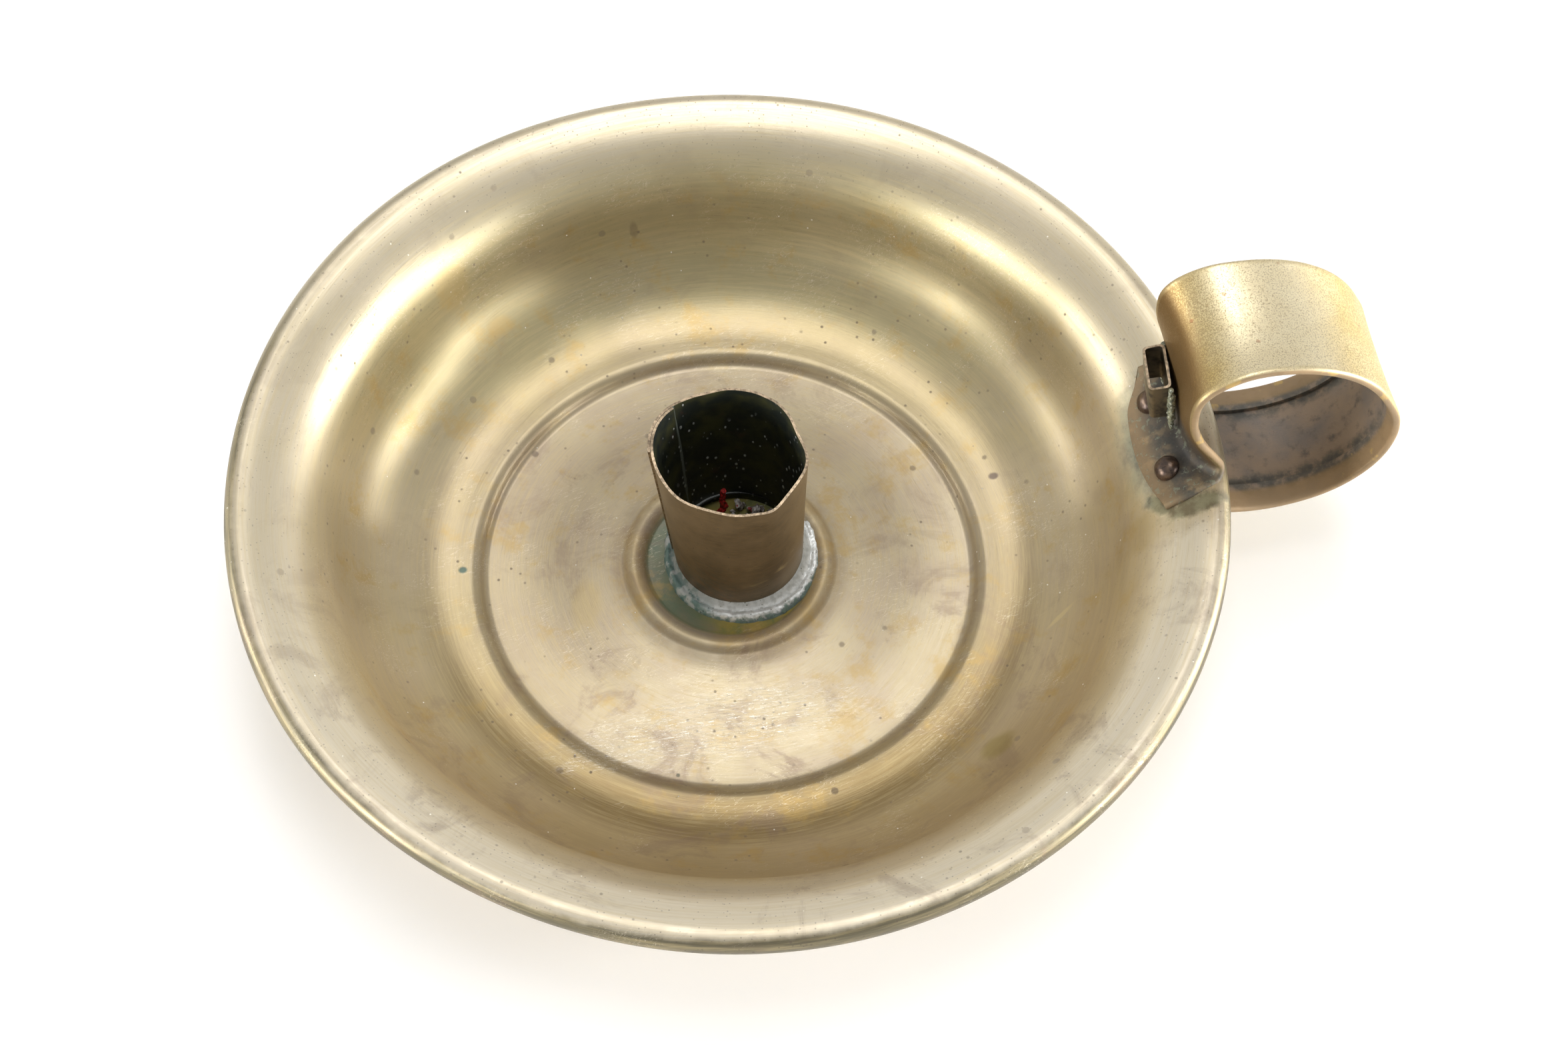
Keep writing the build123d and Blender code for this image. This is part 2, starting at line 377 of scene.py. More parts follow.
def tube_surface(azimuth, share, lift):
    """Points of the tube at azimuths and shares of its height, lifted off its sheet's mid-line."""
    radius = TUBE_FOOT_RADIUS + (TUBE_MOUTH_RADIUS - TUBE_FOOT_RADIUS) * share - TUBE_SHEET / 2
    radius = radius + sum_of_bells(azimuth, MOUTH_BENDS) * share**2.2
    along = -TUBE_LENGTH * (1 - share) - sum_of_bells(azimuth, MOUTH_NICKS) * share**8
    angle = np.radians(azimuth)
    across = np.stack([np.cos(angle), np.sin(angle), np.zeros_like(angle)], axis=-1)
    return TUBE_MOUTH + TUBE_AXIS * along[..., None] + across * (radius + lift)[..., None]


def make_tube(outside_metal, soot, cut_metal):
    turn = np.linspace(0, 360 + LAP_TURN, TURN_STEPS)
    share = np.concatenate([np.linspace(0, 0.9, 22), np.linspace(0.93, 1, 6)])
    climb = (TUBE_SHEET + LAP_GAP) * fade(turn, *LAP_CLIMB)
    grid_turn = np.broadcast_to(turn[:, None], (len(turn), len(share)))
    grid_share = np.broadcast_to(share, grid_turn.shape)
    grid_climb = np.broadcast_to(climb[:, None], grid_turn.shape)
    azimuth = LAP_START + grid_turn
    outer = tube_surface(azimuth, grid_share, grid_climb + TUBE_SHEET / 2)
    inner = tube_surface(azimuth, grid_share, grid_climb - TUBE_SHEET / 2)
    points = np.concatenate([outer, inner[:, ::-1]], axis=1)
    rows, columns = points.shape[:2]
    levels = len(share)
    faces = grid_faces(rows, columns, close_columns=True)
    kinds = ([0] * (levels - 1) + [2] + [1] * (levels - 1) + [2]) * (rows - 1)
    last = (rows - 1) * columns
    for low in range(levels - 1):
        cut = (low + 1, low, columns - 1 - low, columns - 2 - low)
        faces.append(cut)
        faces.append(tuple(last + corner for corner in cut[::-1]))
        kinds += [2, 2]
    metals = [outside_metal, soot, cut_metal]
    make_piece("nozzle_sheet", points, faces, metals, ["nozzle_tube"], kinds)


# ---------------------------------------------------------------- the solder round the tube
SOLDER_COLUMNS = 300
SOLDER_REACH = 2.7
# Where it reaches further or less far: (azimuth, half width, extra reach).
SOLDER_LOBES = [(-55, 50, 0.5), (165, 40, -0.9)]
# Its outline from the tube outwards: (share of the reach, height, strength of the lumps).
SOLDER_OUTLINE = [
    (-0.5, 1.9, 0.05),
    (0.0, 1.85, 0.1),
    (0.22, 1.15, 0.12),
    (0.4, 0.8, 0.2),
    (0.55, 1.0, 0.36),
    (0.7, 1.15, 0.42),
    (0.84, 0.85, 0.36),
    (0.93, 0.45, 0.22),
    (1.0, 0.08, 0.08),
    (1.02, -0.2, 0),
]


def make_tube_solder(material):
    """A lumpy bank: a low fillet on the tube, a bright ridge, and a thin feather on the seat."""
    columns = SOLDER_COLUMNS
    azimuth = np.linspace(-180, 180, columns, endpoint=False)
    reach = SOLDER_REACH + sum_of_bells(azimuth, SOLDER_LOBES)
    rings = []
    for share, height, _ in SOLDER_OUTLINE:
        radius = TUBE_FOOT_RADIUS + (reach * share if share > 0 else share)
        angle = np.radians(azimuth)
        x, y = TUBE_FOOT[0] + radius * np.cos(angle), TUBE_FOOT[1] + radius * np.sin(angle)
        rings.append(np.column_stack([x, y, np.full(columns, SEAT_TOP + height)]))
    points = np.array(rings)
    spots = points.reshape(-1, 3)
    lumps = rough_noise(spots, 1.7, 3) + 0.6 * rough_noise(spots, 0.8, 5)
    lumps = lumps.reshape(len(rings), columns)
    points[..., 2] += lumps * np.array(SOLDER_OUTLINE)[:, 2:]
    points[-3:-1, :, :2] *= (1 + lumps[-3:-1] * 0.02)[..., None]
    faces = grid_faces(len(rings), columns, close_rows=True, close_columns=True)
    make_piece("nozzle_solder_bank", points, faces, [material], ["nozzle_solder"], sharp=80)


# ---------------------------------------------------------------- the strap handle
# Walks of the strap's outer face, from the foot's free end inside the bowl, over the finger loop, to
# the tail outside the wall: along the middle, and along the near edge, which folds over the rim.
MIDDLE_HEADING = 54
MIDDLE_START = on_flare(MIDDLE_HEADING, HALF_SHEET + STRAP_SHEET)
MIDDLE = [
    ("arc", 18.0, 30, 13),
    ("arc", 1.6, 101, 9),
    ("line", 5.8, 9),
    ("arc", 40.0, 88, 9),
    ("line", 2.3, 3),
    ("arc", 5.85, 40, 12),
    ("arc", 11.05, 5, 10),
    ("arc", 23.9, -60, 22),
    ("line", 1.1, 3),
    ("arc", 15.7, -150, 26),
    ("arc", 20.0, -190, 12),
    ("line", 14.0, 8),
    ("arc", 2.2, -308, 10),
    ("arc", 16.6, -318, 5),
]
EDGE_START = (65.85, 26.8)
EDGE_HEADING = 38
EDGE = [
    ("arc", 14.0, 24, 6),
    ("arc", 20.0, 15, 6),
    ("line", 2.2, 3),
    ("arc", 0.9, 124.6, 9),
    ("line", 6.0, 7),
    ("arc", 18.2, 88, 12),
    ("arc", 6.8, 40, 12),
    ("arc", 12.0, 5, 10),
    ("arc", 24.0, -60, 22),
    ("line", 2.9, 3),
    ("arc", 16.0, -158, 26),
    ("arc", 23.0, -193, 12),
    ("line", 13.6, 8),
    ("arc", 2.2, -308, 10),
    ("arc", 16.6, -318, 5),
]
FOLD_ROW = 20
# The strap's half width at some rows of the walk.
HALF_WIDTHS = [(0, 12.2), (8, 12.0), (20, 11.3), (37, 10.5), (67, 9.7), (99, 9.9), (129, 10.8)]
HALF_WIDTHS.append((151, 10.9))
# The foot is set off to the near side, and its far corner is curled away from the pan (x, z).
FOOT_SHIFT = -1.5
CORNER_CURL = (1.7, 1.1)
MEAN_HALF_WIDTH = 10.3
HEM_WIDTH = 3.6
HEM_THICKNESS = 1.3


def strap_sheet():
    """Points of the strap's outer face: rows along the walk, columns across from near to far."""
    middle, _ = walk(MIDDLE_START, MIDDLE_HEADING, [s[:-1] for s in MIDDLE], [s[-1] for s in MIDDLE])
    edge, _ = walk(EDGE_START, EDGE_HEADING, [s[:-1] for s in EDGE], [s[-1] for s in EDGE])
    rows = np.arange(len(middle))
    rows_at, widths = zip(*HALF_WIDTHS)
    half = np.interp(rows, rows_at, widths)
    sideways = FOOT_SHIFT * (1 - fade(rows, 4, 26))
    power = 2.0 + 1.6 * bell(rows, FOLD_ROW, 9)
    across = np.linspace(-1, 1, 41)
    sheet = np.zeros((len(middle), len(across), 3))
    for column, share in enumerate(across):
        place = middle + (edge - middle) * (abs(share) ** power)[:, None]
        sheet[:, column, 0] = place[:, 0]
        sheet[:, column, 2] = place[:, 1]
        sheet[:, column, 1] = share * half + sideways
    corner = fade(across, 0.5, 1.0)[None, :] * (1 - fade(rows, 0, 8))[:, None]
    sheet[..., 0] += CORNER_CURL[0] * corner
    sheet[..., 2] += CORNER_CURL[1] * corner
    return sheet


def sheet_normals(sheet):
    along = np.gradient(sheet, axis=0)
    across = np.gradient(sheet, axis=1)
    normal = np.cross(along, across)
    return normal / np.linalg.norm(normal, axis=-1, keepdims=True)


def make_strap(material):
    sheet = strap_sheet()
    normal = sheet_normals(sheet)
    rows, columns = sheet.shape[:2]
    hem_columns = round(HEM_WIDTH / (MEAN_HALF_WIDTH / ((columns - 1) / 2)))
    rolls = []
    ring = [(column, 0.0, 0.0) for column in range(columns)]
    bead = HEM_THICKNESS / 2
    for part in range(1, 9):
        angle = math.pi * part / 9
        rolls.append((bead * math.sin(angle), bead - bead * math.cos(angle)))
    for across, depth in rolls:
        ring.append((columns - 1, across, depth))
    for column in range(columns - 1, columns - 2 - hem_columns, -1):
        ring.append((column, 0.0, HEM_THICKNESS))
    for column in range(columns - 1 - hem_columns, hem_columns - 1, -1):
        ring.append((column, 0.0, STRAP_SHEET))
    for column in range(hem_columns, -1, -1):
        ring.append((column, 0.0, HEM_THICKNESS))
    for across, depth in reversed(rolls):
        ring.append((0, -across, depth))
    side = np.cross(np.gradient(sheet, axis=0), normal)
    side /= -np.linalg.norm(side, axis=-1, keepdims=True)
    points = np.zeros((rows, len(ring), 3))
    for index, (column, across, depth) in enumerate(ring):
        points[:, index] = sheet[:, column] - normal[:, column] * depth + side[:, column] * across
    faces = grid_faces(rows, len(ring), close_columns=True) + end_caps(rows, len(ring))
    piece = make_piece("handle_strap_sheet", points, faces, [material], ["handle_strap"], sharp=45)
    inner = np.array([1.0 if depth > 0.3 else 0.0 for _, _, depth in ring])
    give_attribute(piece, "inner_side", np.tile(inner, rows))
    row_share = np.repeat(np.arange(rows) / (rows - 1), len(ring))
    give_attribute(piece, "along", row_share)
    edge_distance = np.array([abs(column / (columns - 1) * 2 - 1) for column, _, _ in ring])
    give_attribute(piece, "edge", np.tile(edge_distance, rows))


# ---------------------------------------------------------------- rivets
RIVET_AZIMUTHS = {"rivet_near": -6.5, "rivet_far": 4.1}
RIVET_HEADING = 37
RIVET_LIFT = 0.35
HEAD_RADIUS = 2.1
HEAD_HEIGHT = 1.3
TAIL_RADIUS = 1.7
TAIL_HEIGHT = 0.7
SHANK_RADIUS = 1.1


def make_rivet(name, azimuth, material, seed):
    """One rivet turned from a profile: hammered head, shank, and the tail outside the pan."""
    grip = HALF_SHEET + STRAP_SHEET
    turns = np.radians(np.arange(0, 91, 10))
    seat = grip + RIVET_LIFT
    head = [(HEAD_RADIUS * math.sin(t), seat - 0.25 + (HEAD_HEIGHT + 0.25) * math.cos(t)) for t in turns]
    tail = [(TAIL_RADIUS * math.sin(t), -grip - TAIL_HEIGHT * math.cos(t)) for t in turns[::-1]]
    shank = [(HEAD_RADIUS - 0.15, grip - 0.5), (SHANK_RADIUS, grip - 0.5), (SHANK_RADIUS, -grip)]
    profile = head + shank + tail
    columns = 40
    angle = np.linspace(0, 2 * math.pi, columns, endpoint=False)
    radius, height = (np.repeat(values, columns) for values in zip(*profile))
    angle = np.tile(angle, len(profile))
    points = np.column_stack([radius * np.cos(angle), radius * np.sin(angle), height])
    dents = rough_noise(points, 1.1, seed)
    points *= (1 + 0.035 * dents)[:, None]
    normal = left_of(RIVET_HEADING)
    along = heading_vector(RIVET_HEADING)
    centre = on_flare(RIVET_HEADING)
    turn = math.radians(azimuth)
    out = np.array([math.cos(turn), math.sin(turn), 0])
    up = np.array([0, 0, 1])
    side = np.array([-math.sin(turn), math.cos(turn), 0])
    x_axis = out * along[0] + up * along[1]
    z_axis = out * normal[0] + up * normal[1]
    place = out * centre[0] + up * centre[1]
    world = place + points[:, :1] * x_axis + points[:, 1:2] * side + points[:, 2:] * z_axis
    faces = grid_faces(len(profile), columns, close_columns=True, flip=True)
    make_piece(name, world, faces, [material], ["handle_rivets"], sharp=60)


# ---------------------------------------------------------------- snuffer sleeve and its solder
SLEEVE_DEPTH = 3.5
SLEEVE_WIDTH = 8.2
SLEEVE_CORNER = 0.8
SLEEVE_LEAN = 9.0
SLEEVE_YAW = 6.0


def rounded_rectangle(depth, width, corner, count=6):
    """Points round a rectangle whose back lies on the y axis and whose front faces -x."""
    points = []
    for turn, x, y in ((0, 0, 1), (1, -1, 1), (2, -1, 0), (3, 0, 0)):
        centre_x = -corner if x == 0 else -depth + corner
        centre_y = width / 2 - corner if y else -width / 2 + corner
        for part in range(count + 1):
            angle = math.radians(90 * turn + 90 * part / count)
            points.append((centre_x + corner * math.cos(angle), centre_y + corner * math.sin(angle)))
    return np.array(points)


def sleeve_frame():
    """The sleeve's base point and its axes: away from the strap (negative x), across, and up."""
    base = np.array([sleeve_high[0], (sleeve_low[1] + sleeve_high[1]) / 2, sleeve_low[2]])
    lean, yaw = math.radians(SLEEVE_LEAN), math.radians(SLEEVE_YAW)
    across = np.array([math.sin(yaw), math.cos(yaw), 0])
    up = np.array([-math.sin(lean), 0, math.cos(lean)])
    out = np.cross(across, up)
    return base, out / np.linalg.norm(out), across, up


def make_sleeve(metal, cut_metal):
    base, out, across, up = sleeve_frame()
    outer = rounded_rectangle(SLEEVE_DEPTH, SLEEVE_WIDTH, SLEEVE_CORNER)
    inner = rounded_rectangle(
        SLEEVE_DEPTH - 2 * SLEEVE_SHEET, SLEEVE_WIDTH - 2 * SLEEVE_SHEET, SLEEVE_CORNER - SLEEVE_SHEET / 2
    ) - np.array([SLEEVE_SHEET, 0])
    height = sleeve_high[2] - sleeve_low[2]
    levels = np.linspace(0, 1, 9)
    count = len(outer)
    points = []
    for ring, rising in ((outer, levels), (inner, levels[::-1])):
        for level in rising:
            taper = 1 - 0.05 * (1 - level)
            for x, y in ring:
                rise = level * height + 0.25 * level * math.sin(y * 0.9 + 1) * (x < -1)
                points.append(base + out * x * taper + across * y * taper + up * rise)
    faces = grid_faces(2 * len(levels), count, close_rows=True, close_columns=True, flip=True)
    kinds = ([0] * (len(levels) - 1) * count + [1] * count) * 2
    metals = [metal, cut_metal]
    make_piece("snuffer_sleeve_sheet", points, faces, metals, ["snuffer_sleeve"], kinds)


def make_crust(name, path, radii, material, stands_for, seed, flat=0.75):
    """A lumpy bead of solder that follows a path."""
    path = np.array(path, float)
    count, columns = 60, 20
    share = np.linspace(0, 1, count)
    knots = np.linspace(0, 1, len(path))
    centre = np.stack([np.interp(share, knots, path[:, axis]) for axis in range(3)], axis=1)
    radius = np.interp(share, np.linspace(0, 1, len(radii)), radii)
    tangent = np.gradient(centre, axis=0)
    tangent /= np.linalg.norm(tangent, axis=1, keepdims=True)
    first = np.cross(tangent, np.array([0.2, 1.0, 0.1]))
    first /= np.linalg.norm(first, axis=1, keepdims=True)
    second = np.cross(tangent, first)
    angle = np.linspace(0, 2 * math.pi, columns, endpoint=False)
    points = (
        centre[:, None]
        + first[:, None] * (radius[:, None] * flat * np.cos(angle))[..., None]
        + second[:, None] * (radius[:, None] * np.sin(angle))[..., None]
    )
    flat_points = points.reshape(-1, 3)
    lumps = rough_noise(flat_points, 0.7, seed) + 0.5 * rough_noise(flat_points, 0.3, seed + 2)
    away = (points - centre[:, None]).reshape(-1, 3)
    points = flat_points + away * (0.5 * lumps)[:, None]
    faces = grid_faces(count, columns, close_columns=True) + end_caps(count, columns)
    make_piece(name, points, faces, [material], stands_for, sharp=80)


def make_sleeve_solders(material):
    base, out, across, up = sleeve_frame()
    height = sleeve_high[2] - sleeve_low[2]
    half = SLEEVE_WIDTH / 2
    radii = [0.3, 0.75, 0.8, 0.85, 0.45]
    for name, side, seed in (("sleeve_solder_near", -1, 21), ("sleeve_solder_far", 1, 34)):
        path = []
        for level in (-0.35, 0.0, 0.3, 0.6, 0.95):
            path.append(base + up * level * height + across * side * (half + 0.15) - out * 0.1)
        make_crust(name, path, radii, material, ["sleeve_solder"], seed)


# ---------------------------------------------------------------- what a candle left in the tube
CRUMB_COUNT = 26
# The wick's middle line, from the foot of the tube's axis.
WICK = [(-3.0, 5.0, 1.0), (-2.6, 5.6, 3.0), (-1.6, 6.0, 4.6), (-1.9, 6.4, 6.6), (-1.6, 6.8, 8.6)]


def make_crumbs(material):
    """Crumbs of old wax lying together at the back of the tube's floor."""
    dice = np.random.default_rng(5)
    points, faces = [], []
    ring, levels = 9, 5
    for _ in range(CRUMB_COUNT):
        size = dice.uniform(0.35, 1.15)
        angle = dice.normal(1.35, 0.45)
        away = dice.uniform(4.5, 8.4)
        middle = TUBE_FOOT + np.array([away * math.cos(angle), away * math.sin(angle), size * 0.6])
        middle[2] += 2.2 * dice.uniform(0, 1) * fade(away, 5, 8)
        start = len(points)
        stretch = dice.uniform(0.6, 1.2, 3)
        for level in range(levels):
            tilt = math.pi * (level + 0.5) / levels
            for part in range(ring):
                turn = 2 * math.pi * part / ring
                level_part = np.array([math.cos(turn), math.sin(turn)]) * math.sin(tilt)
                spot = np.append(level_part, math.cos(tilt))
                rough = 1 + 0.35 * dice.uniform(-1, 1)
                points.append(middle + spot * stretch * size * rough)
        faces += grid_faces(levels, ring, close_columns=True, offset=start, flip=True)
        faces += [cap[::-1] for cap in end_caps(levels, ring, start)]
    make_piece("wax_crumbs", points, faces, [material])


def make_wick(material):
    """A short twisted end of dyed wick, leaning on the wax."""
    radii = [0.5, 0.55, 0.6, 0.5, 0.45]
    make_crust("wick_end", TUBE_FOOT + np.array(WICK), radii, material, [], 55, flat=1.0)


# ---------------------------------------------------------------- writing materials as formulas
def tone(red, green, blue):
    """A colour given the way a screen shows it, 0 to 255, as Blender's linear colour."""
    linear = []
    for channel in (red, green, blue):
        share = channel / 255
        linear.append(share / 12.92 if share <= 0.04045 else ((share + 0.055) / 1.055) ** 2.4)
    return (*linear, 1.0)


class Field:
    """A value inside a material. Sums and products of fields become its math nodes."""

    def __init__(self, paint, socket):
        self.paint = paint
        self.socket = socket

    def __add__(self, other):
        return self.paint.math("ADD", self, other)

    def __sub__(self, other):
        return self.paint.math("SUBTRACT", self, other)

    def __rsub__(self, other):
        return self.paint.math("SUBTRACT", other, self)

    def __mul__(self, other):
        return self.paint.math("MULTIPLY", self, other)

    def __truediv__(self, other):
        return self.paint.math("DIVIDE", self, other)

    def fade(self, start, end):
        return self.paint.fade(self, start, end)

    def band(self, centre, half_width, soft):
        return self.paint.band(self, centre, half_width, soft)

    __radd__ = __add__
    __rmul__ = __mul__


class Formula:
    """Writes sums, products and soft steps into the node tree of a material or of the world."""

    def __init__(self, tree):
        self.tree = tree
        tree.nodes.clear()

    def add(self, kind, **settings):
        node = self.tree.nodes.new(kind)
        for key, value in settings.items():
            setattr(node, key, value)
        return node

    def feed(self, socket, value):
        if isinstance(value, Field):
            self.tree.links.new(value.socket, socket)
        else:
            socket.default_value = value

    def math(self, operation, first, second=0.0):
        node = self.add("ShaderNodeMath", operation=operation)
        self.feed(node.inputs[0], first)
        self.feed(node.inputs[1], second)
        return Field(self, node.outputs[0])

    def root(self, value):
        return self.math("SQRT", value)

    def highest(self, first, second):
        return self.math("MAXIMUM", first, second)

    def size_of(self, value):
        return self.math("ABSOLUTE", value)

    def fade(self, value, start, end):
        """0 at start, 1 at end, smooth between."""
        node = self.add("ShaderNodeMapRange", interpolation_type="SMOOTHSTEP")
        self.feed(node.inputs["Value"], value)
        low, high, from_low, from_high = (start, end, 0.0, 1.0) if start < end else (end, start, 1.0, 0.0)
        node.inputs["From Min"].default_value = low
        node.inputs["From Max"].default_value = high
        node.inputs["To Min"].default_value = from_low
        node.inputs["To Max"].default_value = from_high
        return Field(self, node.outputs["Result"])


class Paint(Formula):
    """Builds one procedural material, working in millimetres in the object's frame."""

    def __init__(self, name):
        self.material = bpy.data.materials.new(name)
        self.material.use_nodes = True
        super().__init__(self.material.node_tree)
        place = self.add("ShaderNodeTexCoord")
        scaled = self.add("ShaderNodeVectorMath", operation="SCALE")
        scaled.inputs["Scale"].default_value = 1 / MM
        self.tree.links.new(place.outputs["Object"], scaled.inputs[0])
        self.place = Field(self, scaled.outputs[0])
        split = self.add("ShaderNodeSeparateXYZ")
        self.tree.links.new(self.place.socket, split.inputs[0])
        self.x, self.y, self.z = (Field(self, split.outputs[axis]) for axis in range(3))
        self.colour = None

    def combine(self, x, y, z):
        node = self.add("ShaderNodeCombineXYZ")
        for socket, value in zip(node.inputs, (x, y, z)):
            self.feed(socket, value)
        return Field(self, node.outputs[0])

    def stretched(self, level, upright):
        """The place with its level and upright parts scaled, for marks that run one way."""
        return self.combine(self.x * level, self.y * level, self.z * upright)

    def band(self, value, centre, half_width, soft):
        """1 near centre, 0 further than half_width + soft from it."""
        return self.fade(self.size_of(value - centre), half_width + soft, half_width)

    def noise(self, size, where=None, detail=3.0, rough=0.55, warp=0.0, shift=0.0):
        """Noise from 0 to 1 whose features are about size millimetres."""
        where = where or self.place
        if shift:
            moved = self.add("ShaderNodeVectorMath", operation="ADD")
            self.feed(moved.inputs[0], where)
            moved.inputs[1].default_value = (shift, shift * 0.7, shift * 1.3)
            where = Field(self, moved.outputs[0])
        node = self.add("ShaderNodeTexNoise", noise_dimensions="3D")
        self.feed(node.inputs["Vector"], where)
        node.inputs["Scale"].default_value = 1 / size
        node.inputs["Detail"].default_value = detail
        node.inputs["Roughness"].default_value = rough
        node.inputs["Distortion"].default_value = warp
        return Field(self, node.outputs["Fac"])

    def cells(self, size, where=None, shift=0.0):
        """Distance to scattered points about size millimetres apart, 0 at a point."""
        where = where or self.place
        moved = self.add("ShaderNodeVectorMath", operation="ADD")
        self.feed(moved.inputs[0], where)
        moved.inputs[1].default_value = (shift, shift * 1.9, shift * 0.3)
        node = self.add("ShaderNodeTexVoronoi")
        self.feed(node.inputs["Vector"], Field(self, moved.outputs[0]))
        node.inputs["Scale"].default_value = 1 / size
        return Field(self, node.outputs["Distance"]) * size

    def patches(self, size, start, end, **settings):
        """Ragged patches, where noise of this size has risen from start to end."""
        return self.fade(self.noise(size, **settings), start, end)

    def dots(self, size, edge, core, shift=0.0):
        """Dots about size millimetres apart, fading out between core and edge."""
        return self.fade(self.cells(size, shift=shift), edge, core)

    def attribute(self, name):
        node = self.add("ShaderNodeAttribute", attribute_name=name)
        return Field(self, node.outputs["Fac"])

    def blend(self, share, first, second):
        """first where share is 0, second where it is 1."""
        node = self.add("ShaderNodeMix", data_type="RGBA")
        self.feed(node.inputs[0], share)
        self.feed(node.inputs[6], first)
        self.feed(node.inputs[7], second)
        return Field(self, node.outputs[2])

    def coat(self, share, over):
        """Lays one more colour over the paint's colour so far."""
        self.colour = self.blend(share, self.colour, over)

    def blot(self, x, y, length, width, turn, ragged, softness=0.35):
        """An elliptical mark in plan view, 1 inside, with a ragged border."""
        cosine, sine = math.cos(math.radians(turn)), math.sin(math.radians(turn))
        dx, dy = self.x - x, self.y - y
        along = (dx * cosine + dy * sine) / length
        across = (dy * cosine - dx * sine) / width
        away = self.root(along * along + across * across) + ragged
        return self.fade(away, 1.0 + softness, 1.0 - softness)

    def finish(self, roughness, metallic, height, anisotropy=0.0, tangent=None):
        """The shader under the paint's colour: height is in millimetres and becomes a bump."""
        shader = self.add("ShaderNodeBsdfPrincipled")
        output = self.add("ShaderNodeOutputMaterial")
        self.feed(shader.inputs["Base Color"], self.colour)
        self.feed(shader.inputs["Roughness"], roughness)
        self.feed(shader.inputs["Metallic"], metallic)
        if height is not None:
            bump = self.add("ShaderNodeBump")
            bump.inputs["Distance"].default_value = MM
            bump.inputs["Strength"].default_value = 1.0
            self.feed(bump.inputs["Height"], height)
            self.tree.links.new(bump.outputs[0], shader.inputs["Normal"])
        if tangent:
            direction = self.add("ShaderNodeTangent", direction_type="RADIAL", axis=tangent)
            shader.inputs["Anisotropic"].default_value = anisotropy
            self.tree.links.new(direction.outputs[0], shader.inputs["Tangent"])
        self.tree.links.new(shader.outputs[0], output.inputs["Surface"])
        return self.material


# ---------------------------------------------------------------- the metals
BRASS_OLIVE = tone(192, 178, 142)
BRASS_BEIGE = tone(196, 182, 154)
BRASS_PINK = tone(186, 170, 148)
BRASS_GOLD = tone(206, 187, 140)
OXIDE_VIOLET = tone(92, 78, 72)
OXIDE_DARK = tone(52, 46, 40)
VERDIGRIS = tone(72, 96, 88)
BARE_TIN = tone(236, 238, 236)


# Creases of the pan, darkened with dirt and painted shade: (radius, half width, soft border, strength).
GROOVES = [(40.9, 0.5, 2.4, 0.16), (14.9, 0.2, 0.9, 0.7), (17.5, 0.6, 3.0, 0.3), (75.3, 0.3, 0.9, 0.3)]
RING_CREST = 15.8


